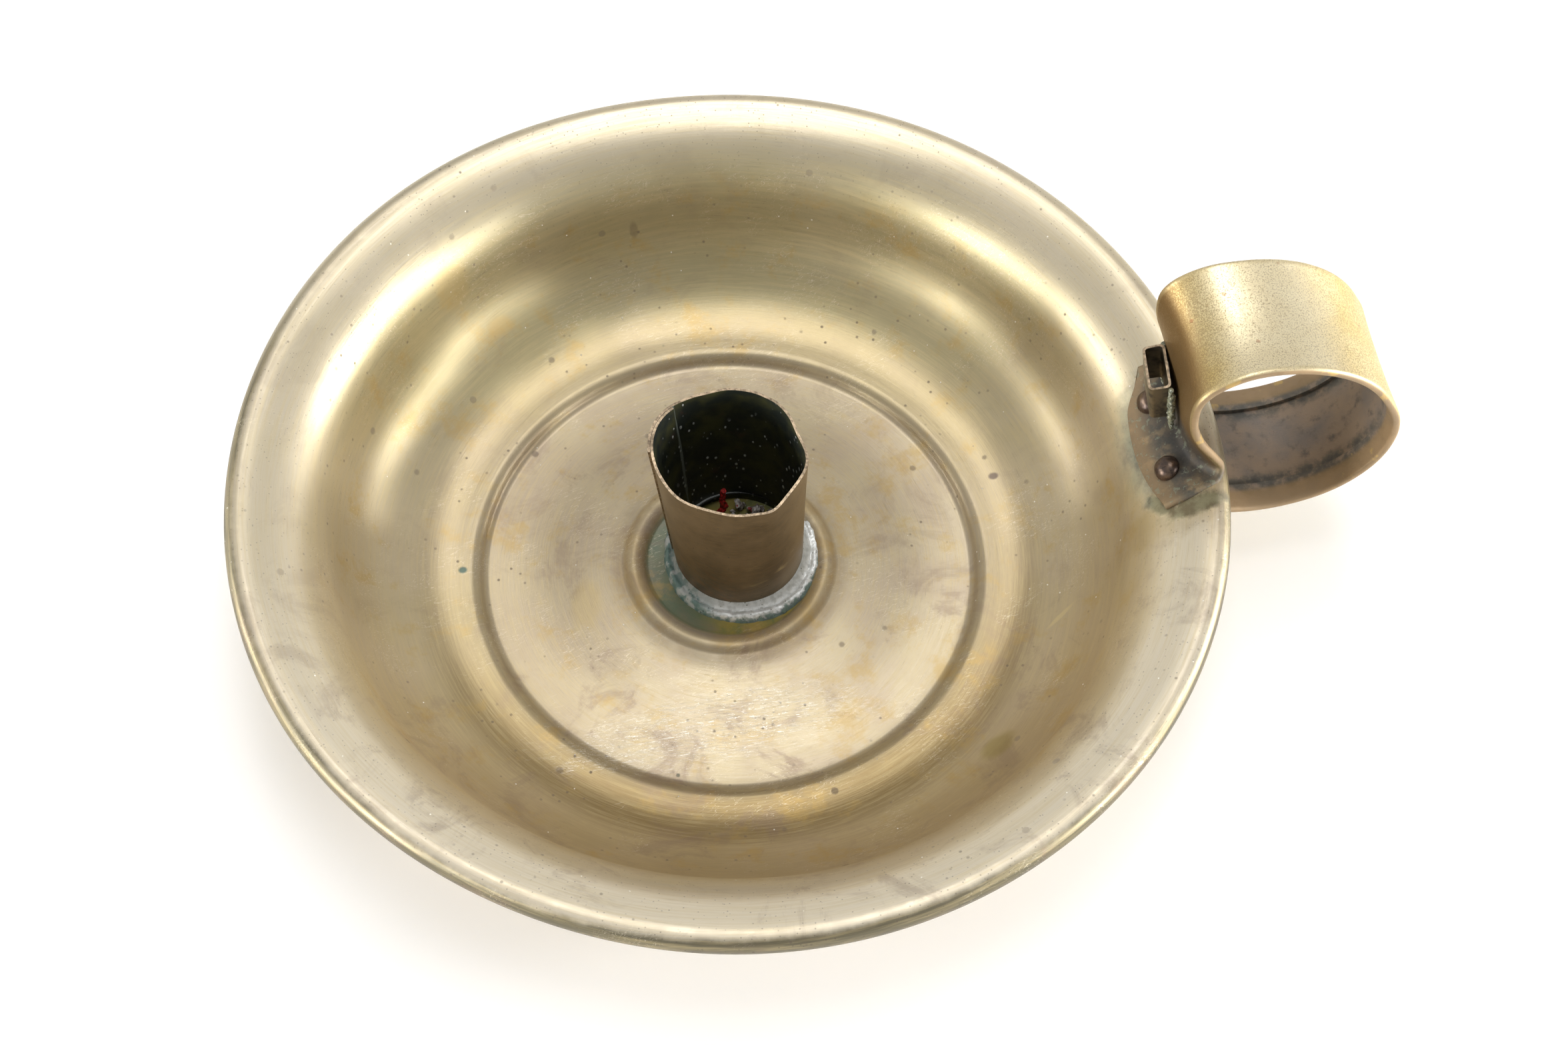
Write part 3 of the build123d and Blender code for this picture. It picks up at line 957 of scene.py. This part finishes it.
def paint_pan():
    paint = Paint("pan aged brass")
    inner = paint.attribute("inner_side")
    radius = paint.root(paint.x * paint.x + paint.y * paint.y)
    safe = paint.highest(radius, 0.5)
    around_x, around_y = paint.x / safe, paint.y / safe
    wide = paint.noise(26, detail=4, warp=0.6)
    cloud = paint.noise(9, detail=5, shift=31.0)
    grime = paint.noise(3.2, detail=5, rough=0.65, shift=7.0)
    ragged = (paint.noise(2.4, detail=4, shift=50.0) - 0.5) * 1.1
    brushed = paint.noise(1, paint.combine(around_x * 5, around_y * 5, radius * 3.2), detail=4, rough=0.7)
    fine = paint.noise(1, paint.combine(around_x * 14, around_y * 14, radius * 11), detail=3, rough=0.6)

    paint.colour = paint.blend(paint.fade(wide + cloud * 0.3, 0.45, 0.85), BRASS_OLIVE, BRASS_BEIGE)
    disc = radius.fade(42.5, 38.5)
    disc_colour = paint.blend(cloud.fade(0.35, 0.65), BRASS_BEIGE, BRASS_PINK)
    # Painted shade: the disc's colour made darker towards its left side.
    disc_colour = paint.blend(paint.x.fade(-10, -34) * 0.5, disc_colour, tone(160, 142, 116))
    paint.coat(disc * 0.8, disc_colour)
    near_side = paint.y.fade(10, -45)
    # Painted sheen: the lip and rim painted pale cream, more on the near side than the far, for the
    # bright reflections they show.
    lip_painted_sheen = radius.fade(63, 70)
    paint.coat(lip_painted_sheen * (near_side * 0.35 + 0.5), tone(238, 227, 204))
    # Painted shade: a darker olive tone laid on the far wall only, for the dark room it reflects.
    far_olive_painted_shade = radius.band(58, 5, 7) * paint.fade(paint.y + (cloud - 0.5) * 30, 5, 45)
    paint.coat(far_olive_painted_shade * 0.45, tone(152, 148, 104))
    # A browner tarnish band round the middle of the wall, laid on much more strongly on the near side as
    # painted shade.
    mid_wall_tarnish_and_shade = radius.band(55, 6, 9)
    paint.coat(mid_wall_tarnish_and_shade * (near_side * 0.4 + 0.1), tone(172, 144, 98))
    # A darker golden tarnish band at the wall's foot, stronger on the near side as painted shade.
    wall_foot_tarnish_and_shade = radius.band(45.8, 2.2, 5)
    paint.coat(wall_foot_tarnish_and_shade * (near_side * 0.5 + 0.3), tone(132, 108, 62))
    # Painted shade: the rim's outer roll darkened to olive, more on the near side, for the dark room it
    # reflects.
    side = paint.fade(paint.y + paint.x * 0.3, 35, 0) * 0.6 + 0.4
    outer_roll_painted_shade = paint.fade(radius + (grime - 0.5) * 0.8, 75.7, 76.7) * side
    paint.coat(outer_roll_painted_shade * 0.9, tone(88, 82, 60))
    streak = brushed.fade(0.38, 0.72)
    paint.coat(streak * 0.4, BRASS_GOLD)
    paint.coat(fine.fade(0.58, 0.76) * 0.26, OXIDE_VIOLET)

    # Dirt and painted shade in the creases: darker bands at the step, round the ring bead and at the
    # rim's groove.
    groove = 0.0
    for place, half_width, soft, strength in GROOVES:
        groove = radius.band(place, half_width, soft) * strength + groove
    crease_dirt_and_shade = groove * grime.fade(0.05, 0.6)
    paint.coat(crease_dirt_and_shade * 0.7, OXIDE_VIOLET)
    # Wear and a painted highlight: a lighter gold line along the ring bead's crest.
    crest_wear_and_highlight = radius.band(RING_CREST, 0.3, 0.9)
    paint.coat(crest_wear_and_highlight * 0.25, BRASS_GOLD)

    tube_round = radius.fade(22, 14.5) * cloud.fade(0.42, 0.62)
    paint.coat(tube_round * inner * 0.4, tone(176, 146, 84))
    seat = radius.fade(14.1, 13.4) * inner
    seat_colour = paint.blend(grime.fade(0.35, 0.7), tone(150, 134, 54), tone(98, 110, 60))
    green_side = paint.fade(paint.x + (grime - 0.5) * 8, -2, -8)
    seat_colour = paint.blend(green_side * 0.8, seat_colour, tone(70, 98, 84))
    paint.coat(seat * 0.9, seat_colour)

    stain = paint.patches(11, 0.5, 0.66, detail=6, rough=0.72, shift=121.0, warp=0.8)
    paint.coat(stain * (near_side * 0.25 + disc * 0.2 + 0.12), tone(140, 118, 104))
    golden = paint.patches(8, 0.52, 0.7, detail=5, rough=0.7, shift=143.0) * radius.fade(66, 62)
    paint.coat(golden * 0.5, tone(186, 154, 86))
    hair_place = paint.combine(paint.x * 0.16 + paint.y * 0.5, paint.y * 1.5 - paint.x * 0.5, paint.z)
    hair = paint.band(paint.noise(1, hair_place, detail=2, shift=33.0, warp=0.6), 0.5, 0.004, 0.008)
    hair = hair * paint.patches(13, 0.48, 0.6, shift=71.0) * inner
    paint.coat(hair * 0.4, tone(236, 224, 198))

    specks = paint.dots(2.3, 0.34, 0.12, shift=3.0) * paint.patches(14, 0.46, 0.6, shift=12.0)
    tiny = paint.dots(0.9, 0.17, 0.06, shift=9.0) * radius.fade(55, 72)
    spots = paint.fade(paint.cells(9.5, shift=17.0) + ragged * 0.35, 0.75, 0.45)
    dark = paint.highest(paint.highest(specks * 0.55, tiny * 0.45), spots * 0.4)
    paint.coat(dark, OXIDE_VIOLET)
    teal = paint.dots(4.1, 0.42, 0.2, shift=41.0) * radius.band(40.5, 2.2, 3.0)
    teal = teal * paint.patches(16, 0.5, 0.62, shift=90.0)
    paint.coat(teal * inner * 0.7, VERDIGRIS)

    torn = ragged * 0.7 + (grime - 0.5) * 0.9
    # Stains beside the strap's foot, and a darker blot on the wall under the foot itself.
    foot_marks = paint.blot(70.6, -15.6, 4.8, 1.7, 4, torn) * inner
    foot_marks = paint.highest(foot_marks, paint.blot(65.8, -13.2, 3.2, 1.3, 118, torn) * inner)
    dark_under_strap = paint.blot(68.0, -1.5, 4.4, 12.0, 0, ragged * 0.5) * inner
    foot_marks = paint.highest(foot_marks, dark_under_strap * 0.8)
    foot_mark_colour = paint.blend(grime.fade(0.4, 0.62), tone(58, 68, 68), tone(112, 120, 104))
    paint.coat(foot_marks * 0.95, foot_mark_colour)
    halo = paint.blot(68.5, -14.6, 8.5, 4.6, 14, ragged) * inner
    paint.coat(halo * 0.3, tone(160, 132, 66))

    marks = [
        (-24.1, -4.0, 4.4, 2.4, 80, tone(200, 174, 112), 0.3),
        (36.0, -40.9, 3.0, 1.7, 35, tone(150, 132, 66), 0.5),
        (-32.1, 48.0, 2.2, 1.2, 30, tone(196, 162, 92), 0.35),
        (-39.2, 50.0, 3.4, 1.6, 40, tone(196, 166, 100), 0.3),
        (46.1, 9.4, 0.8, 0.6, 0, OXIDE_VIOLET, 0.8),
        (-43.2, 4.7, 0.7, 0.6, 0, VERDIGRIS, 0.9),
        (-7.4, 60.6, 0.7, 0.6, 0, OXIDE_VIOLET, 0.3),
        (50.5, -20.0, 2.6, 0.35, 32, BRASS_GOLD, 0.8),
    ]
    mark_relief = 0.0
    for x, y, length, width, turn, mark_colour, strength in marks:
        mark = paint.blot(x, y, length, width, turn, ragged * 0.5) * inner
        paint.coat(mark * strength, mark_colour)
        mark_relief = mark * 0.01 + mark_relief

    scratch_zone = paint.blot(-8, -29, 22, 5.5, 4, ragged) * inner
    scratch_place = paint.combine(paint.x * 0.22 + paint.y * 0.1, paint.y * 2.6, paint.z)
    scratch = paint.noise(1, scratch_place, detail=3, warp=1.4)
    scratched = scratch_zone * scratch.band(0.5, 0.008, 0.012)
    paint.coat(scratched * 0.8, tone(250, 244, 232))
    lint = paint.dots(3.4, 0.16, 0.09, shift=61.0) * inner
    paint.coat(lint * 0.7, tone(240, 236, 226))

    dull = paint.highest(dark, paint.highest(crease_dirt_and_shade, paint.highest(foot_marks, teal)))
    roughness = 0.31 + cloud * 0.08 + (brushed - 0.5) * 0.2 + disc * 0.05 + dull * 0.3 + lint * 0.4
    roughness = roughness + (1 - inner) * 0.08 + radius.fade(66, 73) * 0.05
    roughness = roughness + radius.band(58, 5, 5) * 0.07
    metallic = 0.58 + lip_painted_sheen * 0.2 - dull * 0.4 - lint * 0.6 - seat * 0.4
    relief = (brushed - 0.5) * 0.012 + (fine - 0.5) * 0.005 + (cloud - 0.5) * 0.03 - dark * 0.012
    relief = relief - scratched * 0.003 + foot_marks * grime * 0.12 + lint * 0.02 + mark_relief
    return paint.finish(roughness, metallic, relief, 0.35, "Z")


def paint_rim_wire():
    paint = Paint("rim wire steel")
    rust = paint.noise(2.0, detail=5)
    paint.colour = paint.blend(rust.fade(0.4, 0.65), tone(118, 112, 104), tone(96, 66, 44))
    return paint.finish(0.45 + rust * 0.2, 0.8, rust * 0.03)


def paint_tube_outside():
    paint = Paint("tube brown patina")
    around = paint.stretched(0.35, 2.4)
    brushed = paint.noise(0.8, around, detail=4, rough=0.65)
    slant = paint.combine(paint.x * 0.5, paint.y * 0.5, paint.z * 2.0 + paint.x * 1.1)
    slanted = paint.noise(0.9, slant, detail=3)
    cloud = paint.noise(7, detail=4, shift=4.0)
    paint.colour = paint.blend(cloud.fade(0.3, 0.7), tone(108, 92, 68), tone(134, 116, 90))
    paint.coat(brushed.fade(0.4, 0.75) * 0.35, tone(160, 138, 104))
    warm = paint.z.fade(20, 5) * paint.x.fade(4, -9)
    paint.coat(warm * slanted.fade(0.4, 0.65) * 0.5, tone(178, 124, 66))
    smear = paint.patches(3.0, 0.6, 0.72, where=paint.stretched(0.5, 1.6), shift=8.0)
    smear = smear * paint.x.fade(0, 5) * paint.z.band(13, 3, 3)
    paint.coat(smear * 0.6, BRASS_GOLD)
    specks = paint.dots(1.7, 0.2, 0.08, shift=2.0)
    paint.coat(specks * 0.5, OXIDE_DARK)
    lit_side = paint.fade(paint.x + (cloud - 0.5) * 4, 6, 11)
    paint.coat(lit_side * 0.6, tone(170, 150, 118))
    foot = paint.z.fade(5.2, 3.4)
    paint.coat(foot * 0.5, tone(92, 96, 92))
    roughness = 0.40 + (brushed - 0.5) * 0.2 + cloud * 0.08 + specks * 0.2
    relief = (brushed - 0.5) * 0.006 + (cloud - 0.5) * 0.04 - specks * 0.01
    return paint.finish(roughness, 0.78 - specks * 0.4, relief, 0.3, "Z")


def paint_soot():
    paint = Paint("tube inside soot and wax flecks")
    cloud = paint.noise(4, detail=5)
    paint.colour = paint.blend(cloud.fade(0.4, 0.7), tone(30, 36, 30), tone(66, 66, 34))
    red = paint.patches(2.2, 0.6, 0.75, detail=4, shift=15.0)
    paint.coat(red * 0.5, tone(74, 50, 40))
    fleck_place = paint.stretched(1, 0.6)
    flecks = paint.fade(paint.cells(1.15, fleck_place, shift=6.0) + (cloud - 0.5) * 0.9, 0.26, 0.1)
    flecks = flecks * paint.patches(5, 0.4, 0.55, shift=26.0)
    paint.coat(flecks * 0.9, tone(214, 216, 210))
    seam_turn = math.radians(LAP_START - 1.0)
    seam = paint.size_of(paint.x * math.sin(seam_turn) - (paint.y - TUBE_MOUTH[1]) * math.cos(seam_turn))
    seam = paint.fade(seam + (cloud - 0.5) * 0.5, 0.35, 0.12) * paint.x.fade(0, -3)
    paint.coat(seam * 0.7, tone(120, 126, 116))
    bump = cloud * 0.12 + flecks * 0.1
    return paint.finish(0.42 + cloud * 0.3, 0.25, bump)


def paint_cut_edge(name):
    paint = Paint(name)
    grain = paint.noise(0.5, detail=4)
    paint.colour = paint.blend(grain.fade(0.35, 0.7), tone(180, 160, 134), tone(124, 110, 92))
    return paint.finish(0.34 + grain * 0.2, 0.95, grain * 0.03)


def paint_tin():
    paint = Paint("bright lumpy tin solder")
    dx, dy = paint.x - TUBE_FOOT[0], paint.y - TUBE_FOOT[1]
    radius = paint.root(dx * dx + dy * dy)
    grain = paint.noise(0.9, detail=5)
    crystals = paint.cells(0.55, shift=1.0)
    paint.colour = paint.blend(grain.fade(0.38, 0.66), BARE_TIN, tone(204, 206, 202))
    outer_edge = paint.fade(radius + (grain - 0.5) * 1.6, 12.7, 13.3)
    teal = paint.blend(grain.fade(0.4, 0.6), tone(62, 88, 90), tone(96, 122, 112))
    paint.coat(outer_edge * 0.9, teal)
    left = paint.fade(dx * 0.9 + dy * 0.15 + (grain - 0.5) * 4, -5.5, -9.5)
    left_patches = paint.patches(1.8, 0.45, 0.6, shift=5.0)
    left_colour = paint.blend(left_patches, tone(88, 122, 116), tone(178, 184, 180))
    paint.coat(left * 0.9, left_colour)
    fillet = radius.fade(11.6, 11.1)
    paint.coat(fillet * 0.4, tone(150, 154, 150))
    sooty = radius.fade(10.35, 10.1)
    paint.coat(sooty, tone(34, 34, 28))
    dull = paint.highest(outer_edge, left)
    pits = paint.dots(0.8, 0.16, 0.05, shift=14.0)
    paint.coat(pits * 0.6, tone(58, 62, 60))
    roughness = 0.30 + grain * 0.16 + dull * 0.3 + fillet * 0.15
    relief = (grain - 0.5) * 0.16 + crystals * 0.03 - pits * 0.08
    return paint.finish(roughness, 0.35 - dull * 0.25, relief)


def paint_strap():
    paint = Paint("handle strap handled brass")
    inner = paint.attribute("inner_side")
    along = paint.attribute("along")
    edge = paint.attribute("edge")
    cloud = paint.noise(7, detail=4, shift=2.0)
    grime = paint.noise(2.2, detail=5, rough=0.65, shift=5.0)
    speck = paint.noise(0.24, detail=3, rough=0.7, shift=8.0)
    fine_speck = paint.noise(0.16, detail=2, rough=0.7, shift=18.0)
    paint.colour = paint.blend(cloud.fade(0.35, 0.7), tone(222, 198, 132), tone(232, 214, 160))
    upright = along.fade(0.40, 0.30)
    paint.coat(upright * 0.95, tone(130, 104, 68))
    # Polish and a painted highlight: the loop's crest painted near white.
    crest_polish_and_highlight = along.band(0.45, 0.03, 0.06)
    paint.coat(crest_polish_and_highlight * 0.5, tone(252, 244, 222))
    density = 0.44 + upright * 0.3 - crest_polish_and_highlight * 0.3 + (cloud - 0.5) * 0.3
    speckle = paint.fade(speck + density * 0.22, 0.545, 0.64) * 0.5
    speckle = speckle + fine_speck.fade(0.54, 0.64) * 0.3
    paint.coat(speckle * (1 - inner), tone(118, 88, 48))
    spots = paint.fade(paint.cells(4.6, shift=23.0) + (grime - 0.5) * 0.6, 0.42, 0.2)
    paint.coat(spots * 0.5, tone(150, 92, 60))
    hem_bright = edge.fade(0.95, 1.0) * grime.fade(0.25, 0.55)
    paint.coat(hem_bright * 0.45, BRASS_GOLD)

    inside_colour = paint.blend(cloud.fade(0.35, 0.65), tone(132, 122, 112), tone(158, 138, 116))
    inside_colour = paint.blend(grime.fade(0.5, 0.75), inside_colour, tone(112, 102, 92))
    tarnish = edge.band(0.66, 0.08, 0.16) * grime.fade(0.34, 0.56)
    tarnish = tarnish * along.fade(0.6, 0.72)
    inside_colour = paint.blend(tarnish * 0.7, inside_colour, tone(74, 80, 76))
    gold = paint.patches(3.4, 0.58, 0.66, detail=3, shift=66.0) * edge.fade(0.62, 0.8)
    inside_colour = paint.blend(gold * 0.85, inside_colour, tone(196, 164, 98))
    hem_zone = edge.fade(0.7, 0.8)
    inside_colour = paint.blend(hem_zone * (1 - gold) * 0.6, inside_colour, tone(168, 138, 92))
    paint.coat(inner, inside_colour)

    foot = paint.fade(along + (grime - 0.5) * 0.05, 0.19, 0.11)
    foot_colour = paint.blend(grime.fade(0.35, 0.65), tone(74, 76, 72), tone(106, 96, 82))
    bare = paint.patches(2.6, 0.5, 0.7, detail=4, shift=99.0) * 0.7
    foot_colour = paint.blend(bare, foot_colour, tone(156, 136, 104))
    free_edge = paint.fade(along + (grime - 0.5) * 0.04, 0.05, 0.015)
    foot_colour = paint.blend(free_edge * 0.6, foot_colour, tone(150, 126, 92))
    paint.coat(foot * 0.9, foot_colour)
    gutter = along.band(0.12, 0.035, 0.05) * edge.fade(1.0, 0.75)
    paint.coat(gutter * 0.75, tone(58, 56, 54))
    crust = paint.patches(0.9, 0.56, 0.66, detail=4, shift=44.0) * foot * 0.5
    paint.coat(crust, tone(132, 138, 118))

    dull = paint.highest(foot * 0.8, paint.highest(gutter, inner * 0.45))
    roughness = 0.34 + cloud * 0.08 + speckle * 0.14 + dull * 0.2
    metallic = 0.86 - inner * 0.3 - dull * 0.3 - speckle * 0.25
    relief = (grime + cloud - 1.0) * 0.05 - (speck - 0.5) * 0.02 + crust * 0.06 - spots * 0.02
    return paint.finish(roughness, metallic, relief)


def paint_rivet():
    paint = Paint("rivet dark brass")
    grime = paint.noise(1.4, detail=5)
    paint.colour = paint.blend(grime.fade(0.35, 0.65), tone(86, 74, 68), tone(122, 102, 86))
    paint.coat(paint.patches(0.7, 0.6, 0.7, shift=3.0) * 0.5, OXIDE_DARK)
    return paint.finish(0.3 + grime * 0.15, 0.9, (grime - 0.5) * 0.1)


def paint_sleeve():
    paint = Paint("sleeve dull thin brass")
    grime = paint.noise(2.0, detail=5)
    fine = paint.noise(0.5, detail=3, shift=4.0)
    paint.colour = paint.blend(grime.fade(0.38, 0.65), tone(134, 122, 100), tone(86, 80, 70))
    paint.coat(fine.fade(0.6, 0.75) * 0.4, tone(60, 62, 56))
    return paint.finish(0.36 + grime * 0.2, 0.85, (grime - 0.5) * 0.05 + (fine - 0.5) * 0.02)


def paint_crust():
    paint = Paint("sleeve solder grey green crust")
    grain = paint.noise(0.8, detail=5)
    fine = paint.noise(0.3, detail=4, shift=2.0)
    paint.colour = paint.blend(grain.fade(0.35, 0.65), tone(86, 92, 80), tone(142, 142, 116))
    paint.coat(fine.fade(0.56, 0.66), tone(206, 208, 192))
    return paint.finish(0.55, 0.25, grain * 0.25 + fine * 0.1)


def paint_wax():
    paint = Paint("old wax crumbs")
    grain = paint.noise(0.8, detail=4)
    paint.colour = paint.blend(grain.fade(0.35, 0.6), tone(206, 200, 192), tone(128, 116, 108))
    paint.coat(paint.patches(1.6, 0.62, 0.7, shift=3.0), tone(150, 60, 52))
    return paint.finish(0.6, 0.0, grain * 0.15)


def paint_wick():
    paint = Paint("red dyed wick")
    twist = paint.noise(0.4, paint.stretched(2, 1), detail=3)
    paint.colour = paint.blend(twist.fade(0.35, 0.65), tone(196, 34, 28), tone(120, 18, 16))
    return paint.finish(0.6, 0.0, twist * 0.15)


# ---------------------------------------------------------------- the object
make_pan(paint_pan())
make_rim_wire(paint_rim_wire())
make_tube(paint_tube_outside(), paint_soot(), paint_cut_edge("tube bright cut edge"))
make_tube_solder(paint_tin())
make_strap(paint_strap())
rivet_metal = paint_rivet()
for index, (rivet_name, rivet_azimuth) in enumerate(RIVET_AZIMUTHS.items()):
    make_rivet(rivet_name, rivet_azimuth, rivet_metal, 40 + index)
make_sleeve(paint_sleeve(), paint_cut_edge("sleeve bright cut edge"))
make_sleeve_solders(paint_crust())
make_crumbs(paint_wax())
make_wick(paint_wick())


# ---------------------------------------------------------------- floor, light and camera
FLOOR_WIDTH = 6000
FLOOR_DROP = 0.05
FLOOR_GLOW = 0.05
# The room's brightness, near the floor and high up; the sines of elevation between which it changes.
ROOM_LIGHT = 0.95
HIGH_LIGHT = 0.66
HIGH_START = 0.15
HIGH_END = 0.55
# The darker side of the room: its brightness, its elevation, and the cosines where it starts and
# is full.
DARK_SHARE = 0.7
DARK_ELEVATION = 25
DARK_RIM = 0.1
DARK_CORE = 0.95
# Lamps: name, azimuth, elevation, distance, width, height in metres, and power in watts.
LAMPS = [
    ("soft box left, front", -150, 6, 0.95, 0.26, 0.44, 8.4),
    ("soft box left, back", 177, 9, 0.95, 0.22, 0.40, 3.8),
    ("soft box right, front", -21, 8, 0.95, 0.18, 0.44, 7.4),
    ("soft box right, back", 8, 8, 0.95, 0.20, 0.44, 9.4),
    ("soft box above", 90, 80, 1.00, 0.34, 0.76, 3.9),
]


def paint_floor():
    """Matt white paper, lit from below a little where the camera sees it, as a light table is."""
    paint = Paint("pale paper floor")
    fibre = paint.noise(0.7, detail=2)
    paint.colour = paint.blend(fibre, tone(250, 250, 250), tone(255, 255, 255))
    material = paint.finish(0.9, 0.0, None)
    shader = next(node for node in paint.tree.nodes if node.type == "BSDF_PRINCIPLED")
    seen = paint.add("ShaderNodeLightPath")
    shader.inputs["Emission Color"].default_value = (1, 1, 1, 1)
    glow = Field(paint, seen.outputs["Is Camera Ray"]) * FLOOR_GLOW
    paint.feed(shader.inputs["Emission Strength"], glow)
    return material


def make_floor():
    half = FLOOR_WIDTH / 2 * MM
    corners = [(-half, -half, 0), (half, -half, 0), (half, half, 0), (-half, half, 0)]
    mesh = bpy.data.meshes.new("floor")
    mesh.from_pydata(corners, [], [(0, 1, 2, 3)])
    floor = put_in_scene("floor", mesh)
    floor.location.z = -FLOOR_DROP * MM
    mesh.materials.append(paint_floor())


def from_photo_side(azimuth, elevation, distance):
    """A place round the object, azimuth counted from +X in a frame turned with the camera."""
    turn, rise = math.radians(azimuth + CAMERA_TURN), math.radians(elevation)
    level = math.cos(rise)
    return Vector((math.cos(turn) * level, math.sin(turn) * level, math.sin(rise))) * distance


def soft_box(name, azimuth, elevation, distance, width, height, power):
    light = bpy.data.lights.new(name, "AREA")
    light.shape = "RECTANGLE"
    light.size = width
    light.size_y = height
    light.energy = power
    lamp = put_in_scene(name, light)
    lamp.location = from_photo_side(azimuth, elevation, distance)
    lamp.rotation_euler = (-lamp.location).to_track_quat("-Z", "Y").to_euler()


CAMERA_TURN = -9.3
CAMERA_ELEVATION = 60.16
CAMERA_DISTANCE = 405.46
CAMERA_ROLL = -0.63
CAMERA_PAN = 1.25
CAMERA_TILT = 1.03
# The focal length as a share of the picture's width.
FOCAL_SHARE = 3700 / 2352
SENSOR_WIDTH = 36


def make_camera():
    """A camera looking down at the pan's middle, then panned, tilted and rolled a little."""
    data = bpy.data.cameras.new("camera")
    data.sensor_width = SENSOR_WIDTH
    data.lens = SENSOR_WIDTH * FOCAL_SHARE
    data.clip_start = 0.01
    data.clip_end = 20
    aim = Matrix.Rotation(math.radians(CAMERA_TURN), 4, "Z")
    aim @= Matrix.Rotation(math.radians(90 - CAMERA_ELEVATION), 4, "X")
    aim @= Matrix.Rotation(math.radians(-CAMERA_PAN), 4, "Y")
    aim @= Matrix.Rotation(math.radians(CAMERA_TILT), 4, "X")
    aim @= Matrix.Rotation(math.radians(-CAMERA_ROLL), 4, "Z")
    place = from_photo_side(-90, CAMERA_ELEVATION, CAMERA_DISTANCE * MM)
    aim.translation = place + Vector((0, 0, PAN_SHEET * MM))
    camera = put_in_scene("camera", data)
    camera.matrix_world = aim
    bpy.context.scene.camera = camera


def make_surroundings():
    """A room that is whitest near the floor, with one darker side, low behind the camera."""
    world = bpy.data.worlds.new("studio")
    bpy.context.scene.world = world
    world.use_nodes = True
    sky = Formula(world.node_tree)
    direction = Field(sky, sky.add("ShaderNodeTexCoord").outputs["Generated"])
    nearness = sky.add("ShaderNodeVectorMath", operation="DOT_PRODUCT")
    nearness.inputs[1].default_value = from_photo_side(-90, DARK_ELEVATION, 1.0)
    sky.feed(nearness.inputs[0], direction)
    split = sky.add("ShaderNodeSeparateXYZ")
    sky.feed(split.inputs[0], direction)
    dark = sky.fade(Field(sky, nearness.outputs["Value"]), DARK_RIM, DARK_CORE)
    high = sky.fade(Field(sky, split.outputs["Z"]), HIGH_START, HIGH_END)
    back = sky.add("ShaderNodeBackground")
    light = ROOM_LIGHT - high * (ROOM_LIGHT - HIGH_LIGHT)
    sky.feed(back.inputs["Strength"], light * (1 - dark * (1 - DARK_SHARE)))
    output = sky.add("ShaderNodeOutputWorld")
    sky.tree.links.new(back.outputs[0], output.inputs[0])


make_floor()
make_camera()
make_surroundings()
for lamp_numbers in LAMPS:
    soft_box(*lamp_numbers)
bpy.context.scene.view_settings.view_transform = "Standard"
